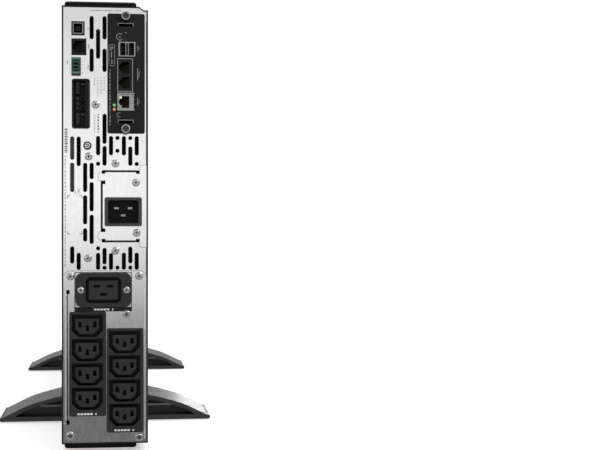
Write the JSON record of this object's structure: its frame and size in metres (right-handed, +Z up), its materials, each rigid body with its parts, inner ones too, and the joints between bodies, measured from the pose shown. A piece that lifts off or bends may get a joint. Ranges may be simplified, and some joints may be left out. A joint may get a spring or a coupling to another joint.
{
  "type": "rackmount ups",
  "caption": "Slim two-unit power supply standing on edge on sloping feet, with a plated connector panel of outlets, inlet, vents and a network card.",
  "frame": {"origin": "bottom centre of the bounding box, on the surface the feet stand on", "axes": "+Z up, +Y towards the front bezel, -Y out of the connector panel, +X to the right when facing the connector panel"},
  "size_m": [0.244, 0.6851, 0.4513],
  "materials": {
    "case_black": "fine textured black powder coat",
    "plated_steel": "satin zinc plate",
    "screw_steel": "bright zinc plate",
    "connector_black": "satin moulded",
    "outlet_black": "satin moulded",
    "terminal_green": "satin moulded",
    "contact_brass": "plain",
    "contact_silver": "nickel plate",
    "strip_black": "printed film",
    "card_black": "satin black paint",
    "board_green": "solder resist",
    "led_lens": "clear tinted",
    "button_grey": "satin moulded",
    "foot_plastic": "fine spark texture",
    "pad_rubber": "matte",
    "washer_dark": "black oxide",
    "sheet_inner": "plain zinc plate",
    "fan_black": "satin moulded",
    "heatsink": "extruded",
    "core_iron": "varnished",
    "can_sleeve": "shrink sleeve",
    "cell_case": "moulded",
    "handle_black": "satin moulded",
    "bezel_black": "satin moulded",
    "display_black": "gloss",
    "lens_blue": "polished window"
  },
  "bodies": {
    "root": {"outer_cover": "case_black", "base_tray": "case_black", "top_rail": "case_black", "bottom_rail": "case_black", "rear_panel": "plated_steel", "inlet_bracket": "plated_steel", "outlet_bracket": "plated_steel", "inlet_housing": "connector_black", "inlet_pins": "contact_silver", "large_outlet": "outlet_black", "left_outlet_block": "outlet_black", "right_outlet_block": "outlet_black", "outlet_contacts": "contact_brass", "label_strip": "strip_black", "usb_b_housing": "connector_black", "usb_b_shell": "contact_silver", "serial_jack": "connector_black", "epo_header": "connector_black", "battery_socket": "connector_black", "battery_socket_contacts": "contact_silver", "panel_screws": "screw_steel", "earth_screw": "screw_steel", "earth_washer": "washer_dark", "card_cage": "handle_black", "rear_foot_left": "foot_plastic", "rear_foot_right": "foot_plastic", "front_foot_left": "foot_plastic", "front_foot_right": "foot_plastic", "foot_pads": "pad_rubber", "divider_wall": "sheet_inner", "fan_frames": "fan_black", "battery_shelf": "sheet_inner", "power_board": "board_green", "heatsinks": "heatsink", "transformer": "core_iron", "capacitors": "can_sleeve", "front_frame": "bezel_black"},
    "card": {"card_faceplate": "card_black", "card_board": "board_green", "usb_a_shell": "contact_silver", "usb_a_tongues": "connector_black", "dual_jack": "connector_black", "network_jack": "contact_silver", "card_leds": "led_lens"},
    "card_screw_upper": {"card_screw_upper": "screw_steel"},
    "card_screw_lower": {"card_screw_lower": "screw_steel"},
    "reset_button": {"reset_button": "button_grey"},
    "epo_plug": {"epo_plug": "terminal_green"},
    "battery": {"battery_tray": "sheet_inner", "battery_cells": "cell_case", "battery_handle": "handle_black"},
    "bezel": {"front_bezel": "bezel_black"},
    "display": {"display_housing": "display_black", "display_lens": "lens_blue"},
    "power_button": {"power_button": "button_grey"},
    "up_button": {"up_button": "button_grey"},
    "down_button": {"down_button": "button_grey"},
    "enter_button": {"enter_button": "button_grey"},
    "fan_rotor_upper": {"fan_rotor_upper": "fan_black"},
    "fan_rotor_lower": {"fan_rotor_lower": "fan_black"}
  },
  "joints": [
    {"name": "card_slide", "type": "slide", "parent": "root", "child": "card", "axis": [0, -1, 0], "range_m": [0, 0.115]},
    {"name": "card_screw_upper_spin", "type": "hinge", "parent": "card", "child": "card_screw_upper", "pos_m": [0.0206, -0.3335, 0.4353], "axis": [0, -1, 0], "continuous": true},
    {"name": "card_screw_lower_spin", "type": "hinge", "parent": "card", "child": "card_screw_lower", "pos_m": [0.0206, -0.3335, 0.3232], "axis": [0, -1, 0], "continuous": true},
    {"name": "reset_press", "type": "slide", "parent": "card", "child": "reset_button", "axis": [0, 1, 0], "range_m": [0, 0.0008], "stiffness_N_per_m": 300},
    {"name": "epo_plug_pull", "type": "slide", "parent": "root", "child": "epo_plug", "axis": [0, -1, 0], "range_m": [0, 0.014]},
    {"name": "battery_pull", "type": "slide", "parent": "root", "child": "battery", "axis": [0, 1, 0], "range_m": [0, 0.32]},
    {"name": "bezel_pull", "type": "slide", "parent": "root", "child": "bezel", "axis": [0, 1, 0], "range_m": [0, 0.4]},
    {"name": "display_turn", "type": "hinge", "parent": "bezel", "child": "display", "pos_m": [0, 0.3335, 0.39], "axis": [0, 1, 0], "range_deg": [0, 90]},
    {"name": "fan_upper_spin", "type": "hinge", "parent": "root", "child": "fan_rotor_upper", "pos_m": [0, -0.0275, 0.32], "axis": [0, -1, 0], "continuous": true},
    {"name": "fan_lower_spin", "type": "hinge", "parent": "root", "child": "fan_rotor_lower", "pos_m": [0, -0.0275, 0.13], "axis": [0, -1, 0], "continuous": true},
    {"name": "power_press", "type": "slide", "parent": "display", "child": "power_button", "axis": [0, -1, 0], "range_m": [0, 0.001], "stiffness_N_per_m": 400},
    {"name": "up_press", "type": "slide", "parent": "display", "child": "up_button", "axis": [0, -1, 0], "range_m": [0, 0.001], "stiffness_N_per_m": 400},
    {"name": "down_press", "type": "slide", "parent": "display", "child": "down_button", "axis": [0, -1, 0], "range_m": [0, 0.001], "stiffness_N_per_m": 400},
    {"name": "enter_press", "type": "slide", "parent": "display", "child": "enter_button", "axis": [0, -1, 0], "range_m": [0, 0.001], "stiffness_N_per_m": 400}
  ],
  "couplings": [
    {"joint": "bezel_pull", "follows": "battery_pull", "ratio": 1.25}
  ]
}
